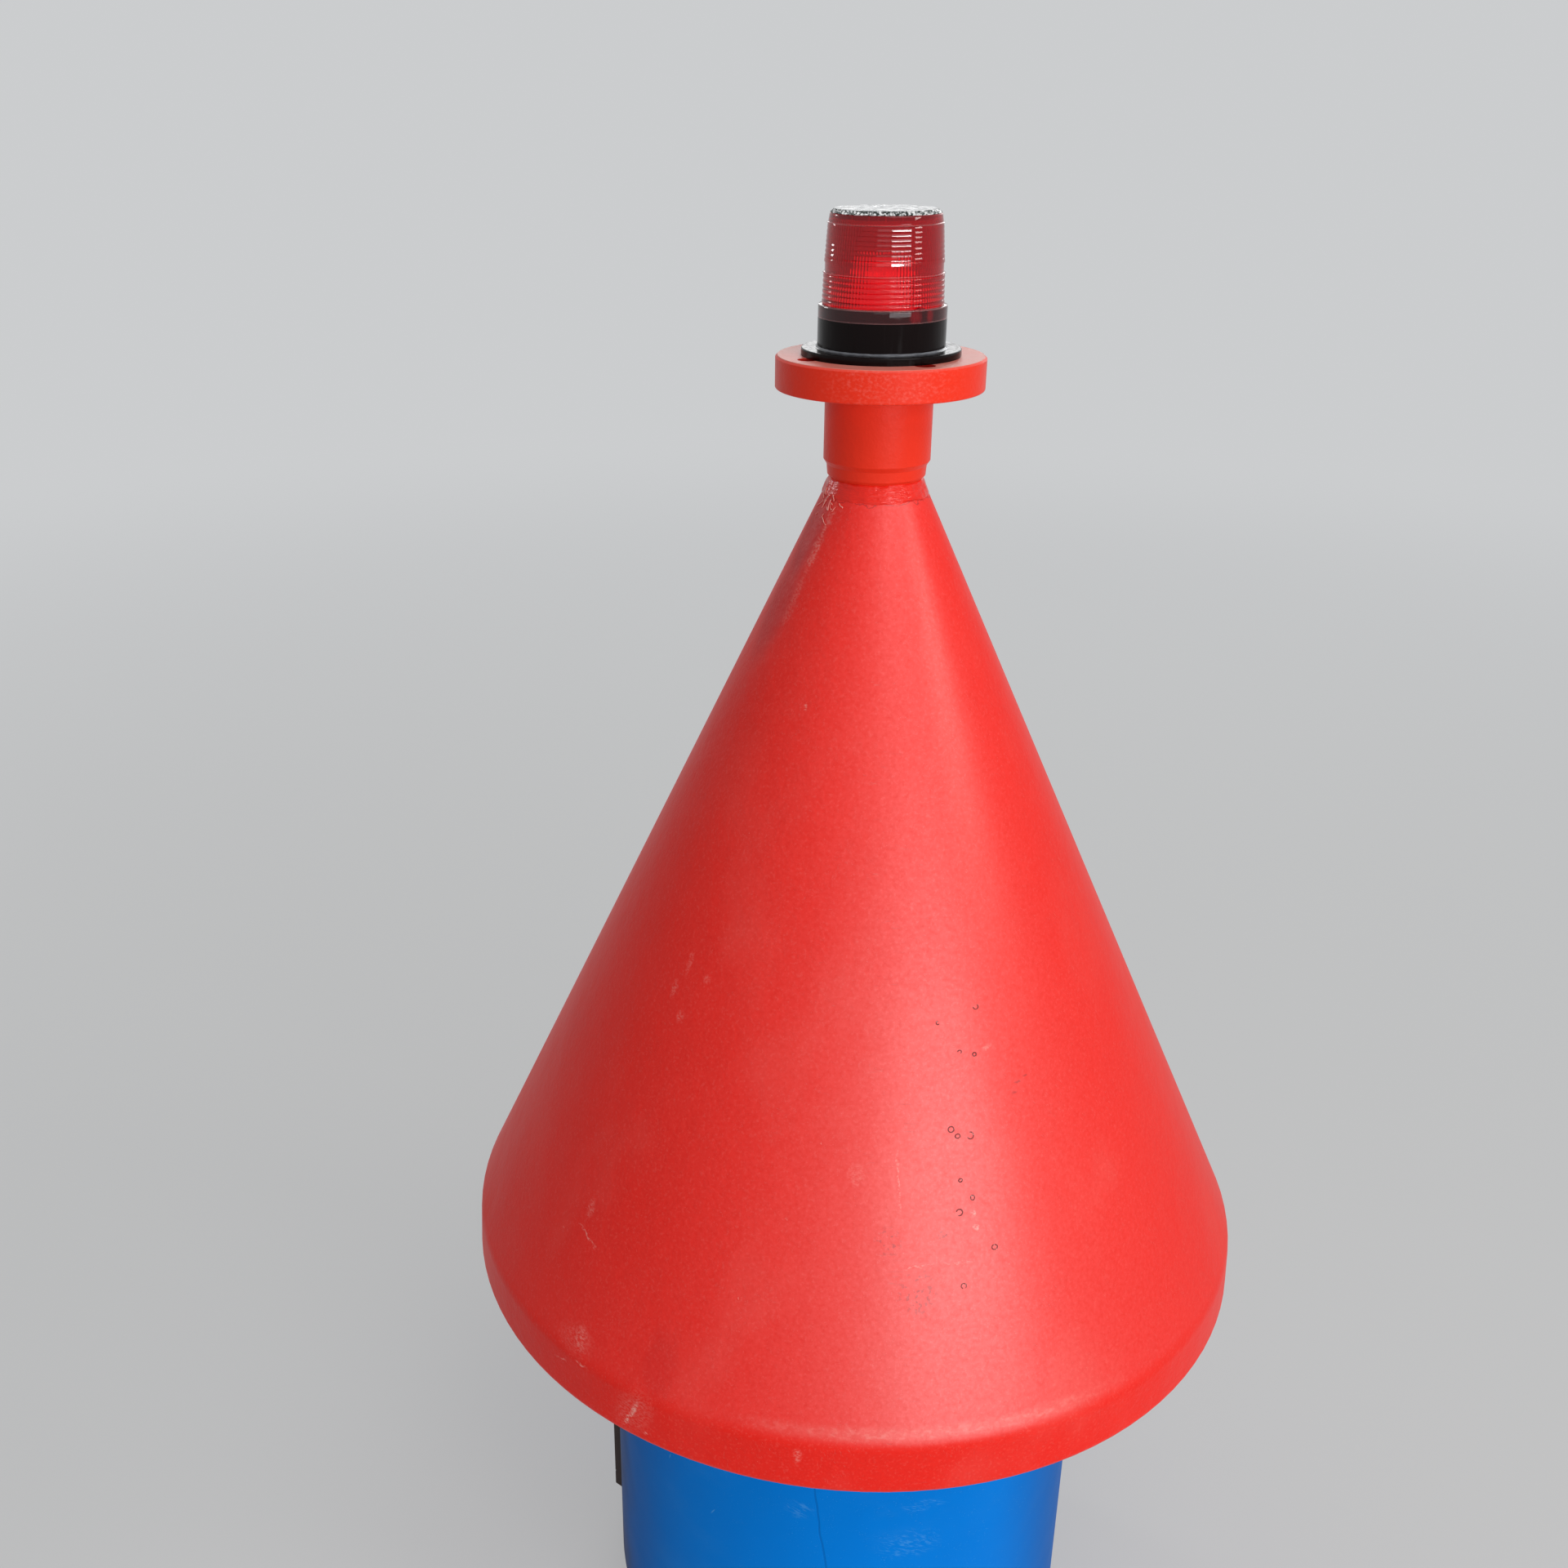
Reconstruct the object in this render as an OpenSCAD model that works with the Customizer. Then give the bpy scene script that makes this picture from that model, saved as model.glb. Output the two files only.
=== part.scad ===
// Conical navigation buoy with a solar lantern, standing in a cut-down plastic drum.
// Z is the buoy's own axis, and Z = 0 is the floor under the drum.

/* [Drum] */
// Outside diameter of the drum
drum_d = 517; // [480:1:600]
// Height of the drum from the floor to its cut rim
drum_h = 411; // [360:1:480]
// Wall thickness of the drum
drum_wall = 4.5; // [3:0.5:7]
// Radius of the drum's bottom corner, outside
drum_corner_r = 45; // [30:1:60]
// Radius of the ring that the drum stands on, at its inner edge
drum_foot_r = 196; // [170:2:205]
// Height of the base above the floor, inside that ring
drum_recess = 9; // [4:1:14]
// How far the moulded side fin stands out of the wall
fin_out = 10; // [6:1:16]
// Width of the side fin, around the drum
fin_w = 14; // [8:1:24]
// Height of the fin's lower end above the floor
fin_end_z = 88; // [60:1:180]

/* [Hull] */
// Diameter of the belt, the widest part
belt_d = 800; // [740:5:860]
// Height of the belt
belt_h = 46; // [30:1:70]
// How much less the radius is at the belt's upper edge
belt_draft = 2.4; // [0:0.2:5]
// Radius of the rounded edge between upper cone and belt
shoulder_r = 28; // [16:1:40]
// Radius of the rounded edge between belt and lower cone
bilge_r = 8; // [6:1:16]
// Height of the upper cone
upper_cone_h = 762; // [700:2:820]
// Height of the lower cone
lower_cone_h = 277; // [240:1:320]
// Diameter of the upper cone at its top
cone_top_d = 83.4; // [80:0.2:88]
// Diameter of the flat end of the lower cone
tip_d = 92; // [88:1:104]

/* [Neck] */
// Diameter of the flange
flange_d = 185; // [175:1:200]
// Thickness of the flange
flange_t = 28.5; // [20:0.5:34]
// Diameter of the circle through the bolt holes
bolt_circle_d = 145; // [140:1:150]
// Diameter of a bolt hole
bolt_hole_d = 18; // [14:0.5:20]
// Number of bolt holes
bolt_holes = 4; // [4:1:8]
// Angle of the first bolt hole
bolt_turn = 31; // [0:1:45]
// Diameter of the hub under the flange
hub_d = 96; // [92:0.5:104]
// Height of the hub
hub_h = 62; // [50:1:80]
// Diameter of the pipe end under the hub
pipe_d = 90; // [86:0.5:92]
// Height of the pipe end, with its chamfers
pipe_h = 17; // [14:1:24]
// Diameter of the bore
neck_bore_d = 56; // [48:1:66]
// Rounding of the flange's lower edge
flange_edge_r = 1.5; // [0.5:0.5:3]
// Chamfer of the flange's upper edge
flange_chamfer = 2; // [0.5:0.5:3]
// How far the weld bulges beyond a straight line across its groove
bead_out = 1.2; // [0.6:0.2:2.4]

/* [Mooring] */
// Diameter of the steel end plate
plate_d = 90; // [80:1:92]
// Thickness of the end plate
plate_t = 8; // [6:1:12]
// Thickness of the eye
eye_t = 12; // [8:1:16]
// Outside radius of the eye
eye_r = 25; // [22:1:30]
// Diameter of the hole in the eye
eye_hole_d = 26; // [20:1:30]
// Distance from the plate to the middle of that hole
eye_drop = 34; // [30:1:44]

/* [Lantern] */
// Diameter of the mounting disc
disc_d = 140; // [130:1:142]
// Thickness of the mounting disc
disc_t = 6.5; // [4:0.5:8]
// Diameter of the lantern's body
body_d = 112; // [104:1:116]
// Height of the lantern's body up to the skirt of the lens
body_h = 25.5; // [20:0.5:36]
// Height of the smooth skirt at the foot of the lens
skirt_h = 11; // [8:0.5:15]
// Diameter over the lowest ring of the lens
lens_low_d = 106; // [101:0.5:107]
// Diameter over the ridge between the coarse and the fine rings
lens_mid_d = 104.5; // [99:0.5:105]
// Diameter over the ridge under the top band
lens_high_d = 99; // [94:0.5:100]
// Diameter of the top band at its upper edge
lens_top_d = 95.5; // [91:0.5:97]
// Wall of the lens at the roots of its rings
lens_wall = 3; // [2:0.25:4]
// Pitch of the coarse rings
ring_pitch = 4.2; // [3.6:0.1:5]
// Pitch of the fine rings
fine_pitch = 3.9; // [3.4:0.1:4.6]
// Height of the clear band between the coarse and the fine rings
clear_band_h = 7.8; // [5:0.2:10]
// Number of coarse rings
coarse_rings = 6; // [4:1:8]
// Number of fine rings
fine_rings = 8; // [6:1:10]
// Height of the top band
top_band_h = 7; // [6:0.5:12]
// Number of upright prisms inside the lens
prisms = 104; // [72:4:120]
// Thickness of the clear cover
cover_t = 3.6; // [2.4:0.2:5]
// Width of the bevel around the clear cover
cover_bevel = 3.2; // [2:0.2:4]
// Number of notches around the clear cover
cover_notches = 72; // [48:4:96]
// Diameter of the reflector's foot
reflector_low_d = 88; // [76:1:90]
// Diameter of the reflector at its top
reflector_high_d = 38; // [30:1:50]
// Height of the reflector
reflector_h = 32; // [26:1:40]

/* [Hidden] */
$fn = 96;
eps = 0.01;

// Gaps between pieces that lie on each other without being fixed
seat_gap = 0.3;

// The drum: radii, and the slope of the base between foot ring and recess
drum_r = drum_d / 2;
drum_in_r = drum_r - drum_wall;
recess_run = 12;
fin_chamfer = fin_out;
fin_groove_z = fin_end_z + 28;
fin_groove_h = 3;
fin_groove_depth = 1.5;

// The hull rests with its lower cone on the inner edge of the drum's rim
belt_r = belt_d / 2;
tip_r = tip_d / 2;
cone_top_r = cone_top_d / 2;
lower_slope = lower_cone_h / (belt_r - tip_r);
tip_z = drum_h + seat_gap - (drum_in_r - tip_r) * lower_slope;
belt_low_z = tip_z + lower_cone_h;
belt_high_z = belt_low_z + belt_h;
cone_top_z = belt_high_z + upper_cone_h;
upper_slope = (belt_r - belt_draft - cone_top_r) / upper_cone_h;

// The neck: pipe end, hub and flange, one above the other
pipe_r = pipe_d / 2;
hub_r = hub_d / 2;
hub_z = cone_top_z + pipe_h;
flange_z = hub_z + hub_h;
flange_top_z = flange_z + flange_t;
pipe_lip_r = cone_top_r - 0.4;
pipe_lip_h = 3.5;
pipe_taper = 0.8;
hub_chamfer = 4.5;
hub_fillet_r = 3;

// The weld bead lies in the groove between the pipe end and the cone
bead_up = 2;
bead_down = 12;
bead_gap = 0.05;
bead_steps = 8;

// The mooring eye hangs from the end plate
plate_z = tip_z - plate_t;
eye_z = plate_z - eye_drop;

// The lantern stands on the flange
disc_z = flange_top_z;
body_z = disc_z + disc_t;
skirt_z = body_z + body_h;
rings_z = skirt_z + skirt_h;
body_r = body_d / 2;
coarse_h = coarse_rings * ring_pitch;
fine_h = fine_rings * fine_pitch;
mid_ridge_h = 1.6;
high_ridge_h = 1.2;
ridge_out = 1.2;
mid_z = rings_z + coarse_h;
fine_z = mid_z + mid_ridge_h + clear_band_h;
high_z = fine_z + fine_h;
band_z = high_z + high_ridge_h;
lens_top_z = band_z + top_band_h;
ring_depth = 1.1;
fine_depth = 0.6;
skirt_lip = 0.8;
lens_in_low_r = lens_low_d / 2 - ring_depth - lens_wall;
lens_in_top_r = lens_top_d / 2 - lens_wall;
prism_r = 1.1;
prism_sink = 0.35;
tab_w = 3;
tab_out = 1.4;
tab_turn = -55;
tab_h = skirt_h + 2.5;

// The body's collar, which the skirt of the lens slips over
skirt_ledge = 1;
ledge_z = rings_z - skirt_ledge;
skirt_in_r = body_r - lens_wall;
collar_r = skirt_in_r - seat_gap;
collar_z = ledge_z - seat_gap;

// Inside the lens
board_t = 1.6;
board_z = collar_z;
board_clear = 1.5;
reflector_z = board_z + board_t;
reflector_foot_h = 4;
reflector_post_h = 12;
panel_t = 3;
panel_z = lens_top_z - 1 - panel_t;
panel_ledge = 2;
cover_r = lens_top_d / 2 - 0.4;
cover_land = 0.7;
notch_w = 1.3;

// Points of the arc that rounds corner b of the corner a-b-c
function unit(v) = v / norm(v);
function turned(d) = d > 180 ? d - 360 : d < -180 ? d + 360 : d;
function round_corner(a, b, c, r, n = 10) =
    let (
        u = unit(a - b),
        v = unit(c - b),
        half = acos(u * v) / 2,
        middle = b + unit(u + v) * r / sin(half),
        first = b + u * r / tan(half) - middle,
        last = b + v * r / tan(half) - middle,
        start = atan2(first.y, first.x),
        sweep = turned(atan2(last.y, last.x) - start)
    )
    [for (i = [0:n]) middle + r * [cos(start + sweep * i / n), sin(start + sweep * i / n)]];

// Blow-moulded drum, cut off at its rim, with a fin along its left side
module drum() {
    corner = [drum_r, 0];
    in_corner = [drum_in_r, drum_wall];
    foot_in = [drum_foot_r, 0];
    color("royalblue") {
        rotate_extrude()
            polygon(concat(
                [[0, drum_recess], [drum_foot_r - recess_run, drum_recess], foot_in],
                round_corner(foot_in, corner, [drum_r, drum_h], drum_corner_r),
                [[drum_r, drum_h], [drum_in_r, drum_h]],
                round_corner([drum_in_r, drum_h], in_corner, [drum_foot_r, drum_wall],
                             drum_corner_r - drum_wall),
                [[drum_foot_r, drum_wall],
                 [drum_foot_r - recess_run, drum_recess + drum_wall],
                 [0, drum_recess + drum_wall]]
            ));
        drum_fin();
    }
}

// Fin of the drum: an upright bar with a chamfered lower end and a fine groove across it
module drum_fin() {
    root = drum_r - drum_wall / 2;
    out = drum_r + fin_out;
    difference() {
        translate([0, fin_w / 2, 0])
            rotate([90, 0, 0])
                linear_extrude(fin_w)
                    polygon([
                        [-root, drum_h], [-out, drum_h], [-out, fin_end_z + fin_chamfer],
                        [-root, fin_end_z]
                    ]);
        translate([-out - eps, -fin_w / 2 - eps, fin_groove_z])
            cube([fin_groove_depth, fin_w + 2 * eps, fin_groove_h]);
    }
}

// Rotationally moulded double cone, with its belt where the cones meet
module hull() {
    top = [cone_top_r, cone_top_z];
    shoulder = [belt_r - belt_draft, belt_high_z];
    bilge = [belt_r, belt_low_z];
    tip = [tip_r, tip_z];
    color("orangered")
        rotate_extrude()
            polygon(concat(
                [[0, tip_z], tip],
                round_corner(tip, bilge, shoulder, bilge_r),
                round_corner(bilge, shoulder, top, shoulder_r),
                [top, [0, cone_top_z]]
            ));
}

// Steel plate over the flat end of the lower cone
module end_plate() {
    color("silver")
        translate([0, 0, plate_z])
            cylinder(d = plate_d, h = plate_t);
}

// Steel eye, welded upright under the end plate, that the mooring chain is shackled to
module mooring_eye() {
    color("silver")
        difference() {
            union() {
                translate([-eye_t / 2, -eye_r, eye_z])
                    cube([eye_t, 2 * eye_r, eye_drop]);
                translate([-eye_t / 2, 0, eye_z])
                    rotate([0, 90, 0])
                        cylinder(r = eye_r, h = eye_t);
            }
            translate([-eye_t / 2 - 1, 0, eye_z])
                rotate([0, 90, 0])
                    cylinder(d = eye_hole_d, h = eye_t + 2);
        }
}

// Weld between pipe end and cone: a bead that fills the groove and stands out of it
module weld_bead() {
    lip_slope = (pipe_r - pipe_taper - pipe_lip_r) / pipe_lip_h;
    upper = [pipe_lip_r + bead_up * lip_slope, cone_top_z + bead_up];
    lower = [cone_top_r + bead_down * upper_slope + bead_gap, cone_top_z - bead_down];
    middle = (upper + lower) / 2;
    across = unit(upper - lower);
    out = [across.y, -across.x];
    half = norm(upper - lower) / 2;
    color("orangered")
        rotate_extrude()
            polygon(concat(
                [[pipe_lip_r, cone_top_z], [cone_top_r + bead_gap, cone_top_z]],
                [for (i = [0:bead_steps])
                    let (a = -90 + 180 * i / bead_steps)
                    middle + across * half * sin(a) + out * bead_out * cos(a)]
            ));
}

// Full-faced flange, hub and pipe end, moulded as one
module neck_flange() {
    flange_r = flange_d / 2;
    hub_top = [hub_r, flange_z];
    color("orangered")
        difference() {
            rotate_extrude()
                polygon(concat(
                    [[neck_bore_d / 2, cone_top_z], [pipe_lip_r, cone_top_z],
                     [pipe_r - pipe_taper, cone_top_z + pipe_lip_h],
                     [pipe_r, hub_z - hub_chamfer], [hub_r, hub_z]],
                    round_corner([hub_r, hub_z], hub_top, [flange_r, flange_z], hub_fillet_r, 5),
                    round_corner(hub_top, [flange_r, flange_z], [flange_r, flange_top_z],
                                 flange_edge_r, 4),
                    [[flange_r, flange_top_z - flange_chamfer],
                     [flange_r - flange_chamfer, flange_top_z],
                     [neck_bore_d / 2, flange_top_z]]
                ));
            for (i = [0:bolt_holes - 1])
                rotate([0, 0, bolt_turn + i * 360 / bolt_holes])
                    translate([bolt_circle_d / 2, 0, flange_z - 1])
                        cylinder(d = bolt_hole_d, h = flange_t + 2);
        }
}

// Thin black disc that the lantern is mounted by
module lantern_disc() {
    edge = 1.2;
    disc_r = disc_d / 2;
    color([0.05, 0.05, 0.06])
        rotate_extrude()
            polygon(concat(
                [[0, disc_z], [disc_r, disc_z]],
                round_corner([disc_r, disc_z], [disc_r, body_z], [0, body_z], edge, 4),
                [[0, body_z]]
            ));
}

// Black body of the lantern, which holds the battery, with the collar inside the lens's skirt
module lantern_body() {
    color([0.05, 0.05, 0.06])
        rotate_extrude()
            polygon([
                [0, body_z], [body_r, body_z], [body_r, skirt_z], [collar_r, skirt_z],
                [collar_r, collar_z], [0, collar_z]
            ]);
}

// Radius over the rings at height z: it falls in a straight line between the ridges
function coarse_r(z) =
    (lens_low_d + (lens_mid_d - lens_low_d) * (z - rings_z) / coarse_h) / 2;
function fine_r(z) =
    (lens_mid_d + (lens_high_d - lens_mid_d) * (z - mid_z) / (high_z - mid_z)) / 2;

// Outline of the clear band between the lower ridge and the fine rings
function clear_band() = let (low = mid_z + mid_ridge_h)
    [[fine_r(low) - fine_depth, low], [fine_r(fine_z) - fine_depth, fine_z]];

// Outline of one ring from its root at height z: out, up its crest and in again
function coarse_ring(z) = let (r = coarse_r(z)) [
    [r - ring_depth, z], [r - 0.2, z + 0.3 * ring_pitch],
    [r, z + 0.5 * ring_pitch], [r - 0.3, z + 0.75 * ring_pitch],
    [r - ring_depth, z + 0.9 * ring_pitch]
];
function fine_ring(z) = let (r = fine_r(z)) [
    [r, z + 0.1 * fine_pitch], [r, z + 0.35 * fine_pitch],
    [r - fine_depth, z + fine_pitch]
];
// A ridge stands out over the rings above and below it
function ridge(r, z, h) = [[r, z], [r + ridge_out, z + 0.3 * h],
                           [r + ridge_out, z + 0.7 * h], [r, z + h]];

// Red lens: skirt, coarse rings, ridge, clear band, fine rings, ridge and plain top band
module lens() {
    outline = concat(
        [[lens_in_low_r, ledge_z], [skirt_in_r, ledge_z], [skirt_in_r, skirt_z],
         [body_r, skirt_z], [body_r, rings_z - skirt_lip], [body_r - skirt_lip, rings_z]],
        [for (i = [0:coarse_rings - 1]) each coarse_ring(rings_z + i * ring_pitch)],
        ridge(lens_mid_d / 2 - ring_depth, mid_z, mid_ridge_h),
        clear_band(),
        [for (i = [0:fine_rings - 1]) each fine_ring(fine_z + i * fine_pitch)],
        ridge(lens_high_d / 2 - fine_depth, high_z, high_ridge_h),
        [[lens_top_d / 2, lens_top_z], [lens_in_top_r, lens_top_z],
         [lens_in_top_r, panel_z], [lens_in_top_r - panel_ledge, panel_z],
         [lens_in_top_r - panel_ledge, panel_z - panel_ledge]]
    );
    color([0.75, 0.03, 0.08, 0.6])
        union() {
            difference() {
                rotate_extrude()
                    polygon(outline);
                lens_prisms();
            }
            lens_tab();
        }
}

// Upright flutes cut into the inside of the lens, which leave a prism between each two
module lens_prisms() {
    low = [lens_in_low_r + prism_sink, 0, rings_z];
    lean = atan((lens_in_low_r - (lens_in_top_r - panel_ledge)) / (panel_z - panel_ledge - ledge_z));
    for (i = [0:prisms - 1])
        rotate([0, 0, i * 360 / prisms])
            translate([low.x - prism_r, 0, low.z])
                rotate([0, -lean, 0])
                    cylinder(r = prism_r, h = high_z - rings_z - fine_pitch);
}

// Small catch on the skirt, right of the front
module lens_tab() {
    rotate([0, 0, tab_turn])
        translate([body_r - lens_wall / 2, -tab_w / 2, skirt_z])
            cube([lens_wall / 2 + tab_out, tab_w, tab_h]);
}

// Round circuit board that closes the body under the lens
module led_board() {
    color("white")
        translate([0, 0, board_z])
            cylinder(r = lens_in_low_r - board_clear, h = board_t);
}

// Pale flared cone that throws the light outwards: a foot, a hollow flare and a post
module reflector() {
    low_r = reflector_low_d / 2;
    high_r = reflector_high_d / 2;
    flare_z = reflector_z + reflector_foot_h;
    flare_h = reflector_h - reflector_foot_h - reflector_post_h;
    color("whitesmoke")
        rotate_extrude()
            polygon(concat(
                [[0, reflector_z], [low_r, reflector_z]],
                [for (a = [0:10:90])
                    [high_r + (low_r - high_r) * (1 - sin(a)), flare_z + flare_h * (1 - cos(a))]],
                [[high_r - 1, reflector_z + reflector_h], [0, reflector_z + reflector_h]]
            ));
}

// Solar panel on the ledge inside the top band
module solar_panel() {
    color([0.04, 0.05, 0.1])
        translate([0, 0, panel_z])
            cylinder(r = lens_in_top_r - seat_gap, h = panel_t);
}

// Clear cover over the solar panel, with a bevelled edge that is notched all around
module top_cover() {
    top = lens_top_z + cover_t;
    lean = atan(cover_bevel / (cover_t - cover_land));
    color([0.8, 0.85, 0.85, 0.5])
        difference() {
            rotate_extrude()
                polygon([
                    [0, lens_top_z], [cover_r, lens_top_z], [cover_r, lens_top_z + cover_land],
                    [cover_r - cover_bevel, top], [0, top]
                ]);
            for (i = [0:cover_notches - 1])
                rotate([0, 0, i * 360 / cover_notches])
                    translate([cover_r, 0, lens_top_z + cover_land])
                        rotate([0, -lean, 0])
                            rotate([0, 0, 45])
                                cube([notch_w, notch_w, 4 * cover_t], center = true);
        }
}

drum();
hull();
end_plate();
mooring_eye();
weld_bead();
neck_flange();
lantern_disc();
lantern_body();
led_board();
reflector();
lens();
solar_panel();
top_cover();
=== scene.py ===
# Conical navigation buoy with a solar lantern, standing in a cut-down plastic drum.
# Lengths are in metres. Z is the buoy's own axis, and Z = 0 is the floor under the drum.
import math
import random

import bmesh
import bpy
from mathutils import Matrix, Vector


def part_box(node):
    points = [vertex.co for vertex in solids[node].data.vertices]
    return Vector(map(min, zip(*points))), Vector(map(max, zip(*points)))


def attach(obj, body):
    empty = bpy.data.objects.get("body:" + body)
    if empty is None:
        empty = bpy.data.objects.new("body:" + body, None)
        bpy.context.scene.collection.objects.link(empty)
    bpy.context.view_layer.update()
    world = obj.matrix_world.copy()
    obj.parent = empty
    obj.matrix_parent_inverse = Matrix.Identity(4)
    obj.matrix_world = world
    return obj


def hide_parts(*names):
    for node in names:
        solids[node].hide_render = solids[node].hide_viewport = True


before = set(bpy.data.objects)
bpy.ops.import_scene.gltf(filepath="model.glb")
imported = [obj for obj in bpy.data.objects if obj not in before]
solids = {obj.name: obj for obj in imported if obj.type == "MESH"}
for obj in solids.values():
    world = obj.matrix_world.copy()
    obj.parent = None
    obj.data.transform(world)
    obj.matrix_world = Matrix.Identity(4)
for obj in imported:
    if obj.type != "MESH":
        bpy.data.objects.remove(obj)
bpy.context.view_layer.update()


# The camera, set as the photograph was taken.
# It looks down on the belt from 1.65 m above the floor, 1.47 m in front of the buoy's axis.
camera_place = (0.0, -1.470, 1.653)
camera_yaw, camera_pitch, camera_roll = (math.radians(a) for a in (5.77, 23.79, 0.11))

bpy.ops.object.select_all(action="DESELECT")
bpy.ops.object.camera_add()
camera = bpy.context.object
camera.matrix_world = (
    Matrix.Translation(camera_place)
    @ Matrix.Rotation(camera_yaw, 4, "Z")
    @ Matrix.Rotation(math.pi / 2 - camera_pitch, 4, "X")
    @ Matrix.Rotation(-camera_roll, 4, "Z")
)
camera.data.sensor_width = 36
camera.data.lens = 37.31
camera.data.shift_x = 0.0453
camera.data.shift_y = 0.0144
camera.data.clip_start = 0.05
bpy.context.scene.camera = camera


# The studio: a pale floor, a pale surround and soft lamps.
# A wide lamp stands far off in front on the right, as an open doorway would.
floor_radius = 60
floor_colour = (0.60, 0.60, 0.59)
surround_colour = (0.60, 0.61, 0.62)
surround_light = 0.42
# How much of the surround's tone the floor shows by the drum, and where it shows nothing else
floor_evenness = 0.55
even_from, even_to = 1.0, 7.0
lamps_aim = 0.9
# Each lamp: turn from the front, height of its middle, distance, width, height, watts, colour
lamps = {
    "doorway": (32, 2.3, 8.0, 5.8, 2.6, 163, (0.95, 0.97, 1.0)),
    "doorway_sky": (32, 1.94, 7.9, 5.4, 0.28, 139, (1.0, 1.0, 1.0)),
    "right_window": (70, 3.6, 6.0, 1.7, 0.9, 54, (1.0, 0.95, 0.90)),
    "back_window": (-124, 2.9, 5.0, 0.7, 1.0, 26, (1.0, 1.0, 1.0)),
    "back_fill": (172, 3.0, 4.2, 3.0, 2.2, 38, (1.0, 1.0, 1.0)),
    "overhead": (40, 4.4, 2.2, 2.8, 2.8, 60, (1.0, 0.99, 0.98)),
    "front": (-2, 2.5, 8.0, 3.6, 2.2, 29, (1.0, 1.0, 1.0)),
}


class Tone:
    """A socket of a finish. Sums on it add Math nodes, and node() adds any other node."""

    def __init__(self, socket):
        self.socket = socket

    def node(self, kind, settings, values, output=0):
        tree = self.socket.id_data
        made = tree.nodes.new(kind)
        for name, setting in settings.items():
            setattr(made, name, setting)
        for name, value in values.items():
            if isinstance(value, Tone):
                tree.links.new(value.socket, made.inputs[name])
            elif made.inputs[name].type == "RGBA":
                made.inputs[name].default_value = (*value, 1)
            else:
                made.inputs[name].default_value = value
        return Tone(made.outputs[output])

    def sum(self, operation, *values):
        return self.node("ShaderNodeMath", {"operation": operation}, dict(enumerate(values)))

    def __add__(self, other):
        return self.sum("ADD", self, other)

    def __sub__(self, other):
        return self.sum("SUBTRACT", self, other)

    def __rsub__(self, other):
        return self.sum("SUBTRACT", other, self)

    def __mul__(self, other):
        return self.sum("MULTIPLY", self, other)

    def __pow__(self, other):
        return self.sum("POWER", self, other)

    def __abs__(self):
        return self.sum("ABSOLUTE", self)

    __radd__ = __add__
    __rmul__ = __mul__


def larger(one, other):
    """The larger of two tones."""
    return one.sum("MAXIMUM", one, other)


def background_rays(tree):
    """1 on a ray from the camera, a gloss or a clear piece, and 0 on one that lights a piece."""
    rays = tree.nodes.new("ShaderNodeLightPath").outputs
    eye, gloss, clear = (Tone(rays[f"Is {kind} Ray"]) for kind in ("Camera", "Glossy", "Transmission"))
    return larger(eye, larger(gloss, clear))


def rise(tone, low, high):
    """0 below low, 1 above high, and smooth between; it falls where low is the larger."""
    return tone.node("ShaderNodeMapRange", {"interpolation_type": "SMOOTHSTEP"},
                     {"Value": tone, "From Min": low, "From Max": high})


bpy.ops.object.select_all(action="DESELECT")
bpy.ops.mesh.primitive_circle_add(vertices=96, radius=floor_radius, fill_type="NGON")
floor = bpy.context.object
floor.name = "floor"
floor_paint = bpy.data.materials.new("floor_paint")
floor_paint.use_nodes = True
shader = floor_paint.node_tree.nodes["Principled BSDF"]
shader.inputs["Base Color"].default_value = (*floor_colour, 1)
shader.inputs["Roughness"].default_value = 0.9
shader.inputs["Specular IOR Level"].default_value = 0.1
ground = Tone(floor_paint.node_tree.nodes.new("ShaderNodeTexCoord").outputs["Object"])
away = ground.node("ShaderNodeVectorMath", {"operation": "LENGTH"}, {0: ground}, 1)
even = background_rays(floor_paint.node_tree) * (
    floor_evenness + (1 - floor_evenness) * rise(away, even_from, even_to))
pale = even.node("ShaderNodeEmission", {}, {"Color": surround_colour})
mixed = even.node("ShaderNodeMixShader", {}, {0: even, 1: Tone(shader.outputs[0]), 2: pale})
surface = floor_paint.node_tree.nodes["Material Output"].inputs["Surface"]
floor_paint.node_tree.links.new(mixed.socket, surface)
floor.data.materials.append(floor_paint)

for name, (turn, height, distance, width, tall, watts, colour) in lamps.items():
    turn = math.radians(turn)
    place = Vector((math.sin(turn) * distance, -math.cos(turn) * distance, height))
    bpy.ops.object.light_add(type="AREA", location=place)
    lamp = bpy.context.object
    lamp.name = name
    lamp.rotation_euler = (Vector((0, 0, lamps_aim)) - place).to_track_quat("-Z", "Y").to_euler()
    lamp.data.shape = "RECTANGLE"
    lamp.data.size, lamp.data.size_y = width, tall
    lamp.data.energy = watts
    lamp.data.color = colour
    lamp.visible_camera = lamp.visible_transmission = False

world = bpy.data.worlds.new("surround")
bpy.context.scene.world = world
world.use_nodes = True
sky = world.node_tree.nodes["Background"]
sky.inputs["Color"].default_value = (*surround_colour, 1)
seen = background_rays(world.node_tree)
world.node_tree.links.new(
    (seen * (1 - surround_light) + surround_light).socket, sky.inputs["Strength"])
bpy.context.scene.view_settings.view_transform = "Standard"


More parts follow.
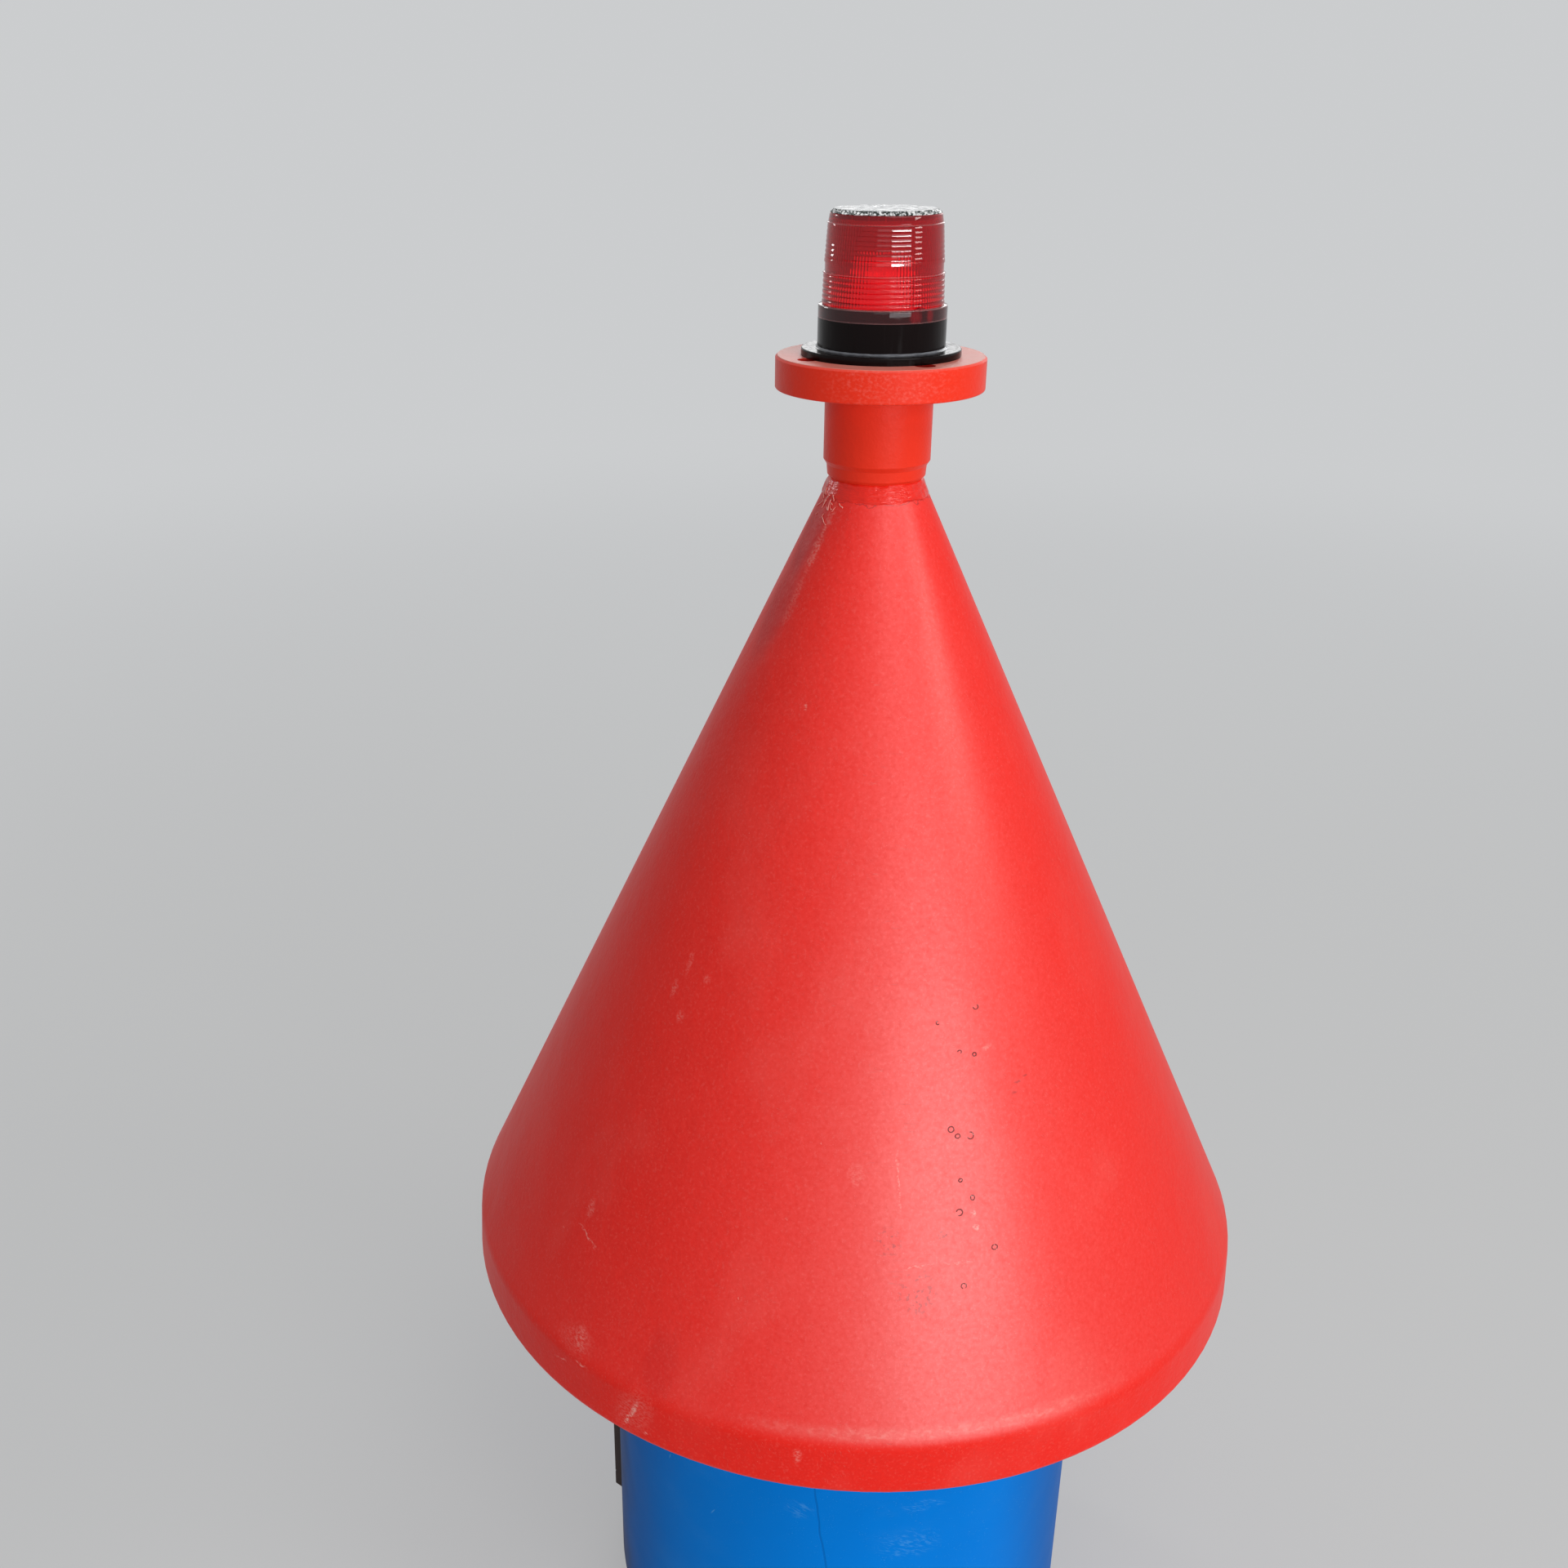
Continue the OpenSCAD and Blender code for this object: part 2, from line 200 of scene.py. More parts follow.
# The drum that the buoy stands in: blow-moulded blue polyethylene, cut off with a saw.
# It has a parting line at the front, scuffs from use, and a fin that is brown with grime.
drum_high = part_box("drum")[1]
drum_r = drum_high.x
drum_blue = (0.0004, 0.225, 0.78)
drum_deep = (0.0003, 0.190, 0.70)
drum_scuff = (0.12, 0.42, 0.80)
# Dark blue of the parting line, and of the painted shade on the drum's sides
drum_seam_and_side_shade = (0.0005, 0.055, 0.26)
# Colour of the painted shade at the drum's left edge
drum_left_shade = (0.045, 0.036, 0.038)
fin_grime = (0.120, 0.098, 0.090)
# The parting line: height at which it crosses the front, slant, how far it wavers, half width
seam_height, seam_slant, seam_waver, seam_half = 0.33, 0.16, 0.030, 0.0016
# Scratches below the belt: turn from the front, height, length, slant from upright
drum_scratches = [(-43, 0.335, 0.011, 16), (-29.5, 0.300, 0.013, 32)]
# Scuffed patches: turn from the front, height, width, tallness
drum_scuffs = [(-8, 0.345, 0.040, 0.030), (17, 0.300, 0.085, 0.050), (20, 0.350, 0.060, 0.020),
               (-30, 0.370, 0.070, 0.025), (55, 0.350, 0.060, 0.040), (150, 0.25, 0.12, 0.10)]


def new_finish(name, steady):
    """A new finish with the values that are the same all over, and its place on the piece."""
    finish = bpy.data.materials.new(name)
    finish.use_nodes = True
    shader = finish.node_tree.nodes["Principled BSDF"]
    for socket, value in steady.items():
        shader.inputs[socket].default_value = value
    return finish, Tone(finish.node_tree.nodes.new("ShaderNodeTexCoord").outputs["Object"])


def feed(finish, **links):
    """Leads tones into the shader's sockets: Base_Color, Roughness, Normal and so on."""
    shader = finish.node_tree.nodes["Principled BSDF"]
    for name, tone in links.items():
        finish.node_tree.links.new(tone.socket, shader.inputs[name.replace("_", " ")])


def grain(place, size, detail=2.0, turn=(0, 0, 0), shift=(0, 0, 0)):
    """Noise from 0 to 1 whose grains are size long, in each direction of their own."""
    sizes = size if isinstance(size, tuple) else (size, size, size)
    turned = place.node(
        "ShaderNodeMapping", {"vector_type": "TEXTURE"},
        {"Vector": place, "Scale": sizes, "Rotation": [math.radians(a) for a in turn],
         "Location": shift})
    return turned.node("ShaderNodeTexNoise", {},
                       {"Vector": turned, "Scale": 1.0, "Detail": detail})


def dye(mask, bare, full):
    """Colour bare where mask is 0, and full where it is 1."""
    return mask.node("ShaderNodeMix", {"data_type": "RGBA"}, {0: mask, 6: bare, 7: full}, 2)


def relief(height, depth, under=None):
    """A surface that stands out by depth where height is 1, over another relief."""
    below = {} if under is None else {"Normal": under}
    return height.node("ShaderNodeBump", {}, {"Height": height, "Distance": depth, **below})


def axes(place):
    """The three lengths of a place."""
    return [place.node("ShaderNodeSeparateXYZ", {}, {"Vector": place}, i) for i in range(3)]


def scratches(place, length, width, turn, shift=(0, 0, 0)):
    """Thin lines of about that length and width, thinned out by a coarser noise."""
    line = grain(place, (length, width, width), 1.0, turn, shift)
    where = grain(place, length * 0.7, 1.0, turn, shift)
    return rise(line, 0.70, 0.76) * rise(where, 0.50, 0.62)


def spot(place, turn, height, radius, wide, tall, slant=0):
    """1 in the middle of a patch on a round piece, and 0 outside its width and height."""
    turn = math.radians(turn)
    faced = Matrix.Rotation(turn, 3, "Z") @ Matrix.Rotation(math.radians(slant), 3, "Y")
    near = place.node("ShaderNodeMapping", {"vector_type": "TEXTURE"}, {
        "Vector": place, "Rotation": faced.to_euler(),
        "Location": (math.sin(turn) * radius, -math.cos(turn) * radius, height),
        "Scale": (wide / 2, max(wide, tall), tall / 2)})
    far = near.node("ShaderNodeVectorMath", {"operation": "LENGTH"}, {0: near}, 1)
    return rise(far, 1.0, 0.35)


def coat(name, finish):
    """Gives a solid of the frame its finish."""
    solids[name].material_slots[0].material = finish


drum_plastic, place = new_finish("drum_plastic", {"Specular IOR Level": 0.03})
x, _, z = axes(place)
cloud = grain(place, 0.16, 3.0)
film = rise(grain(place, (0.10, 0.10, 0.05), 5.0), 0.52, 0.74)
nicks = scratches(place, 0.030, 0.0011, (35, 20, 62))
rubs = scratches(place, 0.012, 0.0008, (70, -25, 15), (0.3, 0.1, 0.2))
chafed = rise(grain(place, (0.007, 0.007, 0.002), 6.0, (0, 24, 0)), 0.46, 0.72)
specks = rise(grain(place, 0.0035, 1.0), 0.74, 0.80) * film
rim = rise(z, drum_high.z - 0.004, drum_high.z - 0.0005)
marks = film * 0.05 + nicks * 0.5 + rubs * 0.3 + specks * 0.35 + rim * 0.3
for turn, height, length, slant in drum_scratches:
    marks = marks + spot(place, turn, height, drum_r, 0.0016, length, slant) * 0.7
for turn, height, wide, tall in drum_scuffs:
    marks = marks + spot(place, turn, height, drum_r, wide, tall) * chafed * 0.34
seam_off = abs(x + (z - seam_height) * seam_slant + cloud * seam_waver)
seam = rise(seam_off, seam_half, seam_half / 4)
# Painted shade: the drum darkens towards its left edge, with an uneven border
left_edge_shade = rise(x + (cloud - 0.5) * 0.06, -drum_r * 0.87, -drum_r * 1.00)
# The drum's sides are darker, which also stands in for the photograph's light
side_shade = rise(abs(x), drum_r * 0.60, drum_r * 0.99)
fin = rise(x, -drum_r - 0.0002, -drum_r - 0.0012)
scuffed = dye(marks, dye(cloud, drum_deep, drum_blue), drum_scuff)
shaded = dye(larger(seam * 0.26, side_shade * 0.60), scuffed, drum_seam_and_side_shade)
feed(
    drum_plastic,
    Base_Color=dye(fin, dye(left_edge_shade * 0.75, shaded, drum_left_shade), fin_grime),
    Roughness=0.40 + cloud * 0.08 + marks * 0.2 + fin * 0.3,
    Normal=relief(seam, -0.0003, relief(nicks + rubs, -0.0002, relief(
        grain(place, 0.0016, 2.0), 0.00004, relief(grain(place, 0.055, 1.0), 0.0012)))),
)
coat("drum", drum_plastic)


# The hull: one rotationally moulded shell of orange-red polyethylene.
# Its skin has a soft gloss and fine pores, with hairlines, a few scrapes and stains from use,
# and a painted highlight on the shoulder and a painted dark reflection on the left flank.
hull_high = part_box("hull")[1]
belt_r = hull_high.x
cone_top_r = 0.0417
cone_high = hull_high.z
belt_top, belt_draft = 0.5715, 0.0024
shoulder_z = belt_top + 0.0125
cone_slope = (belt_r - belt_draft - cone_top_r) / (cone_high - belt_top)
hull_red = (0.89, 0.025, 0.015)
hull_deep = (0.79, 0.015, 0.009)
hull_pale_wear_and_highlight = (0.92, 0.36, 0.31)
hull_stain_and_reflection_red = (0.52, 0.010, 0.010)
# Scrapes on the cone and belt: turn from the front, height, width, tallness, slant, strength
hull_scrapes = [
    (-24.7, 1.156, 0.005, 0.009, 10, 0.9),
    (-27.8, 0.556, 0.050, 0.070, 35, 0.22),
    (-28.2, 0.552, 0.007, 0.048, 26, 1.0),
    (-25.8, 0.538, 0.008, 0.007, 0, 1.0),
    (-41.4, 0.563, 0.0035, 0.024, 74, 0.9),
    (-37.3, 0.573, 0.0035, 0.019, 87, 0.9),
    (-39.4, 0.590, 0.060, 0.036, 0, 0.16),
    (-43.7, 0.673, 0.003, 0.042, -74, 0.7),
    (-41.2, 0.668, 0.007, 0.007, 0, 0.8),
    (-44.7, 0.695, 0.014, 0.022, 0, 0.35),
    (-38.4, 0.594, 0.022, 0.028, 0, 0.3),
    (-42.8, 0.901, 0.010, 0.020, 0, 0.3),
    (-38.6, 0.882, 0.012, 0.016, 0, 0.3),
    (-40.7, 0.926, 0.008, 0.030, 0, 0.25),
    (-34.5, 0.920, 0.010, 0.010, 0, 0.25),
    (-9.2, 0.750, 0.004, 0.003, 0, 0.8),
    (-15.0, 0.680, 0.003, 0.003, 0, 0.8),
    (-49.1, 0.664, 0.004, 0.004, 0, 0.8),
    (-4.6, 0.813, 0.003, 0.004, 0, 0.8),
    (21.5, 0.743, 0.008, 0.008, 0, 1.0),
    (21.3, 0.755, 0.007, 0.007, 0, 0.8),
    (11.8, 0.718, 0.0025, 0.038, 84, 0.4),
    (18.1, 0.718, 0.0025, 0.038, 94, 0.4),
    (-4.7, 0.563, 0.012, 0.020, 0, 0.45),
    (28.3, 0.883, 0.012, 0.006, 0, 0.45),
    (1.8, 0.790, 0.020, 0.026, 0, 0.18),
    (9.0, 0.785, 0.003, 0.062, -2, 0.35),
    (-46.0, 1.306, 0.010, 0.040, 8, 0.40),
    (-49.4, 1.278, 0.013, 0.050, 6, 0.50),
    (-52.0, 1.235, 0.013, 0.060, 4, 0.25),
]
# Darker stains, the two at -66 a painted dark reflection: turn from the front, height, width,
# tallness, strength
hull_stains_and_dark_reflections = [
    (35.7, 0.852, 0.009, 0.003, 0.8),
    (33.8, 0.849, 0.008, 0.003, 0.8),
    (32.7, 0.841, 0.009, 0.003, 0.7),
    (-25.0, 0.608, 0.048, 0.080, 0.22),
    (-66.0, 1.290, 0.052, 0.090, 0.70),
    (-66.0, 1.225, 0.060, 0.130, 0.55),
]
# Patches of tiny pits: turn from the front, height, width, tallness
pit_patches = [(10.9, 0.694, 0.046, 0.050), (15.2, 0.738, 0.016, 0.010), (6.5, 0.735, 0.03, 0.03)]
# A thin dark line that wavers just under the weld's lower edge: its height, and how far it wavers
edge_line_height, edge_line_waver = 1.3185, 0.012


def cone_r(height):
    """Radius of the hull's upper cone, or of its belt, at a height."""
    return min(belt_r - 0.001, cone_top_r + (cone_high - height) * cone_slope)


def wander(place, size):
    """The place, moved about by a noise of that size, so that a mark's edge is uneven."""
    shift = place.node("ShaderNodeTexNoise", {}, {
        "Vector": place, "Scale": 1 / size, "Detail": 2.0}, 1)
    return shift.node("ShaderNodeVectorMath", {"operation": "MULTIPLY_ADD"}, {
        0: shift, 1: (size, size, size), 2: place})


hull_plastic, place = new_finish("hull_plastic", {"Specular IOR Level": 0.12, "Coat Roughness": 0.38})
x, y, z = axes(place)
cloud = grain(place, 0.22, 4.0)
film = rise(grain(place, (0.09, 0.09, 0.16), 6.0, (0, 12, 20)), 0.50, 0.76)
streaks = scratches(place, 0.060, 0.0010, (10, 62, 20))
uprights = scratches(place, 0.045, 0.0009, (0, 86, 12), (0.2, 0.4, 0.1))
rounds = scratches(place, 0.035, 0.0009, (0, 4, 8), (0.5, 0.3, 0.7))
pores = grain(place, 0.0040, 3.0)
# The front and right of the cone are glossier, which also stands in for the photograph's light
facing = x.sum("DIVIDE", x, (x * x + y * y) ** 0.5)
glossy = (rise(facing + cloud * 0.5, -0.75, 0.35) * rise(facing, 1.0, 0.55)
          * rise(z, belt_top - 0.002, belt_top + 0.012))
rough_edge = rise(grain(place, (0.0030, 0.0030, 0.0016), 6.0), 0.34, 0.72)
dust = rise(grain(place, 0.0026, 2.0), 0.52, 0.74)
# Pale band on the shoulder, kept to the front: partly wear, partly a painted highlight
shoulder_wear_and_highlight = (rise(abs(z - shoulder_z), 0.0080, 0.0010)
            * spot(place, 13, shoulder_z, belt_r, 0.40, 0.20))
scrapes_and_highlight = (film * 0.06 + dust * 0.07 + streaks * 0.16 + uprights * 0.15 + rounds * 0.12
           + shoulder_wear_and_highlight * (0.10 + rise(grain(place, (0.007, 0.007, 0.004), 6.0), 0.42, 0.74) * 0.24))
uneven = wander(place, 0.006)
for turn, height, wide, tall, slant, strength in hull_scrapes:
    scrape = spot(uneven, turn, height, cone_r(height), wide, tall, slant)
    scrapes_and_highlight = scrapes_and_highlight + scrape * rough_edge * strength
edge_line_off = abs(z - edge_line_height + (grain(place, 0.010, 4.0) - 0.5) * edge_line_waver)
stains_and_dark_reflections = rise(edge_line_off, 0.0005, 0.0001)
for turn, height, wide, tall, strength in hull_stains_and_dark_reflections:
    stains_and_dark_reflections = stains_and_dark_reflections + spot(uneven, turn, height, cone_r(height), wide, tall) * strength
dots = rise(grain(place, 0.0036, 1.0), 0.585, 0.635)
for turn, height, wide, tall in pit_patches:
    stains_and_dark_reflections = stains_and_dark_reflections + spot(place, turn, height, cone_r(height), wide, tall) * dots * 0.8
feed(
    hull_plastic,
    Base_Color=dye(scrapes_and_highlight, dye(stains_and_dark_reflections, dye(
        cloud * 0.5 + pores * 0.7, hull_deep, hull_red), hull_stain_and_reflection_red), hull_pale_wear_and_highlight),
    Roughness=0.34 + cloud * 0.05 + film * 0.08 + pores * 0.06 + scrapes_and_highlight * 0.2,
    Coat_Weight=glossy * (0.50 + pores * 1.2),
    Normal=relief(streaks + uprights + rounds, -0.0002, relief(
        pores, 0.00026, relief(grain(place, 0.014, 2.0), 0.0005, relief(
            grain(place, 0.060, 1.0), 0.0014)))),
)
coat("hull", hull_plastic)


# Pinholes of the moulding: small rings where air came through the skin, right of the front.
# Each one is a flat ring of the same plastic, painted dark: dirt around its lip, and painted shade at
# the crater's edge.
pinholes = [
    (26.3, 0.913, 2.4), (21.4, 0.880, 1.7), (24.5, 0.876, 1.7), (17.4, 0.905, 1.4),
    (18.1, 0.820, 2.6), (19.2, 0.814, 2.2), (21.6, 0.813, 2.8), (18.9, 0.779, 1.6),
    (20.7, 0.764, 1.8), (18.2, 0.754, 2.9), (23.4, 0.722, 2.6), (17.8, 0.696, 2.4),
]
pinhole_flatness = 0.7


def select_faces(piece, wanted):
    """Selects the faces of a piece in edit mode for which wanted is true."""
    mesh = bmesh.from_edit_mesh(piece.data)
    for face in mesh.faces:
        face.select = wanted(face)
    mesh.select_flush_mode()
    bmesh.update_edit_mesh(piece.data)


def select_points(piece, wanted):
    """Selects the points of a piece in edit mode for which wanted is true."""
    bpy.ops.mesh.select_mode(type="VERT")
    bpy.ops.mesh.select_all(action="DESELECT")
    mesh = bmesh.from_edit_mesh(piece.data)
    for point in mesh.verts:
        point.select = wanted(point.co)
    mesh.select_flush_mode()
    bmesh.update_edit_mesh(piece.data)


def finish_piece(piece, name, finish, smooth=35):
    """Names a finished piece, sets its place in its mesh, its finish and what it rides on."""
    if piece.mode == "EDIT":
        bpy.ops.object.mode_set(mode="OBJECT")
    bpy.ops.object.select_all(action="DESELECT")
    piece.select_set(True)
    bpy.context.view_layer.objects.active = piece
    bpy.ops.object.transform_apply(location=True, rotation=True, scale=True)
    bpy.ops.object.shade_smooth_by_angle(angle=math.radians(smooth))
    piece.name = piece.data.name = name
    piece.data.materials.clear()
    piece.data.materials.append(finish)
    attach(piece, "root")


def join(pieces):
    """Joins like pieces into one."""
    bpy.ops.object.select_all(action="DESELECT")
    for piece in pieces:
        piece.select_set(True)
    bpy.context.view_layer.objects.active = pieces[0]
    bpy.ops.object.join()
    return pieces[0]


pinhole_lip, place = new_finish("pinhole_lip", {"Specular IOR Level": 0.4})
dirt_and_shade = grain(place, 0.0012, 2.0)
feed(
    pinhole_lip,
    Base_Color=dye(rise(dirt_and_shade, 0.62, 0.72), dye(dirt_and_shade, (0.05, 0.003, 0.004), (0.34, 0.014, 0.014)),
                   (0.90, 0.55, 0.50)),
    Roughness=0.30 + dirt_and_shade * 0.15,
    Normal=relief(dirt_and_shade, 0.0001),
)
lean = math.atan(cone_slope)
draw = random.Random(7)
rings = []
for turn, height, size in pinholes:
    turn = math.radians(turn)
    radius = cone_r(height) - 0.0001
    bpy.ops.object.select_all(action="DESELECT")
    bpy.ops.mesh.primitive_torus_add(
        major_radius=size / 1000, minor_radius=0.0006, major_segments=24, minor_segments=8)
    ring = bpy.context.object
    bpy.ops.object.mode_set(mode="EDIT")
    bpy.ops.mesh.select_all(action="SELECT")
    bpy.ops.transform.resize(value=(1, 1, pinhole_flatness))
    open_at = draw.uniform(0, math.tau)
    select_points(ring, lambda co: math.cos(math.atan2(co.y, co.x) - open_at) > 0.55)
    bpy.ops.transform.resize(value=(1.1, 1.1, 0.3))
    bpy.ops.object.mode_set(mode="OBJECT")
    ring.matrix_world = (
        Matrix.Translation((math.sin(turn) * radius, -math.cos(turn) * radius, height))
        @ Matrix.Rotation(turn, 4, "Z")
        @ Matrix.Rotation(math.pi / 2 - lean, 4, "X")
        @ Matrix.Diagonal((1, draw.uniform(0.8, 1.15), 1, 1))
    )
    rings.append(ring)
finish_piece(join(rings), "pinholes", pinhole_lip, 80)


# The steel fitting under the lower cone: a plate with an eye welded on, both galvanized.
# Four hexagon bolts hold the plate, and a weld runs around the foot of the eye.
plate_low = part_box("end_plate")[0]
eye_low, eye_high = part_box("mooring_eye")
bolt_ring_r = 0.033
bolt_across = 0.016
bolt_head = 0.0062
weld_leg = 0.006
weld_high = 0.0044
galvanized_steel, place = new_finish("galvanized_steel", {"Metallic": 1.0})
spangle = grain(place, 0.012, 2.0)
feed(
    galvanized_steel,
    Base_Color=dye(spangle, (0.46, 0.47, 0.48), (0.66, 0.67, 0.68)),
    Roughness=0.34 + spangle * 0.22,
    Normal=relief(grain(place, 0.003, 3.0), 0.00015),
)
coat("end_plate", galvanized_steel)
coat("mooring_eye", galvanized_steel)

bolts = []
for quarter in range(4):
    turn = math.radians(45 + 90 * quarter)
    bpy.ops.object.select_all(action="DESELECT")
    bpy.ops.mesh.primitive_cylinder_add(
        vertices=6, radius=bolt_across / math.sqrt(3), depth=bolt_head, rotation=(0, 0, turn),
        location=(math.cos(turn) * bolt_ring_r, math.sin(turn) * bolt_ring_r,
                  plate_low.z - bolt_head / 2))
    bolt = bpy.context.object
    bpy.ops.object.mode_set(mode="EDIT")
    select_faces(bolt, lambda face: face.normal.z < -0.9)
    bpy.ops.mesh.inset(thickness=0.0008)
    bpy.ops.transform.translate(value=(0, 0, -0.0005))
    bpy.ops.mesh.select_all(action="SELECT")
    bpy.ops.mesh.bevel(offset=0.0003, segments=1, affect="EDGES")
    bpy.ops.object.mode_set(mode="OBJECT")
    bolts.append(bolt)
finish_piece(join(bolts), "plate_bolts", galvanized_steel, 30)

bpy.ops.object.select_all(action="DESELECT")
bpy.ops.mesh.primitive_cube_add(size=1, location=(0, 0, plate_low.z - weld_high / 2))
fillet = bpy.context.object
bpy.ops.object.mode_set(mode="EDIT")
bpy.ops.mesh.select_all(action="SELECT")
bpy.ops.transform.resize(value=(
    eye_high.x - eye_low.x + 2 * weld_leg, eye_high.y - eye_low.y + 2 * weld_leg, weld_high))
select_faces(fillet, lambda face: face.normal.z < -0.9)
bpy.ops.transform.resize(value=(0.5, 0.80, 1))
bpy.ops.mesh.select_all(action="SELECT")
bpy.ops.mesh.bevel(offset=0.0012, segments=3, affect="EDGES")
bpy.ops.mesh.subdivide(number_cuts=3)
bpy.ops.transform.vertex_random(offset=0.0002, seed=3)
finish_piece(fillet, "eye_weld", galvanized_steel, 60)


# The neck: flange, hub and pipe end, turned from orange-red polyethylene.
# The flange's top is machined, and its pale colour is partly a painted sheen. Its edge is chamfered,
# its side is scuffed with a painted highlight at the front, and its bolt holes are darkened with
# painted shade.
neck_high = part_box("neck_flange")[1]
flange_r = neck_high.x
flange_red = (0.85, 0.034, 0.012)
flange_top_pale_and_sheen = (0.70, 0.24, 0.19)
hole_shade_red = (0.55, 0.018, 0.010)
bolt_circle_r, bolt_hole_r, bolt_turn = 0.0725, 0.009, 31
flange_chamfer, cut_blur = 0.002, 0.0004
turning_pitch = 0.0009
flange_plastic, place = new_finish("flange_plastic", {"Specular IOR Level": 0.16})
x, y, z = axes(place)
radius = (x * x + y * y) ** 0.5
top = rise(z, neck_high.z - 0.0006, neck_high.z - 0.0001)
cut_r = flange_r - flange_chamfer
cut = (rise(radius, cut_r - cut_blur, cut_r + cut_blur)
       * rise(z, neck_high.z - flange_chamfer - 0.0002, neck_high.z - flange_chamfer + 0.0006))
turning = radius.sum("SINE", radius * (math.tau / turning_pitch))
cloud = grain(place, 0.035, 4.0)
pores = grain(place, 0.0020, 3.0)
side = rise(radius, flange_r - 0.004, flange_r - 0.001)
# Pale rubbing on the side, gathered at the front: partly scuffs, partly a painted highlight
front_rub_and_highlight = spot(place, 8, neck_high.z - 0.012, flange_r, 0.15, 0.075)
chalk_and_highlight = rise(grain(place, (0.0034, 0.0034, 0.0024), 6.0), 0.44, 0.76) * (0.12 + front_rub_and_highlight * 0.88)
turned = place.node("ShaderNodeMapping", {"vector_type": "TEXTURE"}, {
    "Vector": place, "Rotation": (0, 0, math.radians(bolt_turn))})
u, v = [abs(part) for part in axes(turned)[:2]]
along = larger(u, v) - bolt_circle_r
across = u.sum("MINIMUM", u, v)
# Painted shade: the bolt holes, and a thin ring round them, are darker red
hole_shade = rise((along * along + across * across) ** 0.5, bolt_hole_r + 0.0006, bolt_hole_r + 0.0002)
scuffed_and_highlit_red = dye(chalk_and_highlight * (0.03 + side * 0.14) + cut * 0.12, flange_red, hull_pale_wear_and_highlight)
machined_and_sheen = dye(top * (0.55 + cloud * 0.6), scuffed_and_highlit_red, flange_top_pale_and_sheen)
feed(
    flange_plastic,
    Base_Color=dye(hole_shade * (1 - top * 0.3), machined_and_sheen, hole_shade_red),
    Roughness=0.32 + chalk_and_highlight * 0.2 + pores * 0.08,
    Normal=relief(turning * top, 0.00003, relief(
        pores, 0.00016, relief(grain(place, 0.009, 3.0), 0.0003))),
)
coat("neck_flange", flange_plastic)


# The weld that joins the neck to the cone: drawn by hand with a hot rod of the same plastic.
# It is a thin smear with an uneven lower edge, over the cone's top and into the groove.
weld_columns = 240
# An outline's last point drifts some thousandths of a millimetre from its first, and is joined to it
seam_join = 0.00001
# Outline of the smear: height below the cone's top, and how far it stands off the cone
weld_outline = [(0.0145, -0.0004), (0.0138, 0.0003), (0.0120, 0.0008), (0.0090, 0.0010),
                (0.0055, 0.0010), (0.0025, 0.0011), (0.0004, 0.0010), (-0.0006, 0.0004),
                (-0.0012, -0.0004), (0.0010, -0.0030)]


def turned_piece(outline, columns):
    """A piece turned on the buoy's axis, in edit mode, from an outline of radii and heights."""
    bpy.ops.object.select_all(action="DESELECT")
    bpy.ops.mesh.primitive_plane_add(size=0.001)
    piece = bpy.context.object
    bpy.ops.object.mode_set(mode="EDIT")
    bpy.ops.mesh.select_all(action="SELECT")
    bpy.ops.mesh.merge(type="CENTER")
    radius, height = outline[0]
    bpy.ops.transform.translate(value=(radius, 0, height))
    for next_radius, next_height in outline[1:]:
        bpy.ops.mesh.extrude_region_move(
            TRANSFORM_OT_translate={"value": (next_radius - radius, 0, next_height - height)})
        radius, height = next_radius, next_height
    bpy.ops.mesh.select_all(action="SELECT")
    bpy.ops.mesh.spin(steps=columns, angle=math.tau, center=(0, 0, 0), axis=(0, 0, 1))
    bpy.ops.mesh.select_all(action="SELECT")
    bpy.ops.mesh.remove_doubles(threshold=seam_join)
    bpy.ops.mesh.normals_make_consistent(inside=False)
    return piece


def displace(piece, name, size, strength, direction="NORMAL"):
    """Pushes a piece's surface in and out by a soft noise."""
    clouds = bpy.data.textures.new(name, "CLOUDS")
    clouds.noise_scale = size
    push = piece.modifiers.new(name, "DISPLACE")
    push.texture = clouds
    push.strength = strength
    push.direction = direction
    push.texture_coords = "LOCAL"
    bpy.ops.object.modifier_apply(modifier=name)


outline = [(cone_top_r + down * cone_slope + off * math.cos(lean),
            cone_high - down + off * math.sin(lean)) for down, off in weld_outline]
smear = turned_piece(outline + outline[:1], weld_columns)
bpy.ops.object.mode_set(mode="OBJECT")
displace(smear, "smear_edge", 0.016, 0.0050, "Z")
displace(smear, "smear_ripple", 0.007, 0.0012)
weld_plastic, place = new_finish("weld_plastic", {"Specular IOR Level": 0.25})
fold = grain(place, (0.012, 0.012, 0.003), 3.0)
feed(
    weld_plastic,
    Base_Color=dye(fold, (0.74, 0.014, 0.008), (0.90, 0.030, 0.016)),
    Roughness=0.08 + fold * 0.12,
    Normal=relief(fold, 0.0012, relief(grain(place, 0.004, 3.0), 0.0004)),
)
finish_piece(smear, "weld_smear", weld_plastic, 180)
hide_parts("weld_bead")


# Shavings left by the scraper at the weld's left end: thin curls of the weld's plastic.
# They are still stuck on, partly to the weld and partly to the cone below it.
curls = 16
curl_turns = (-78, -38)
curl_heights = (1.300, 1.333)
curl_thick, curl_lift = 0.00038, 0.0016
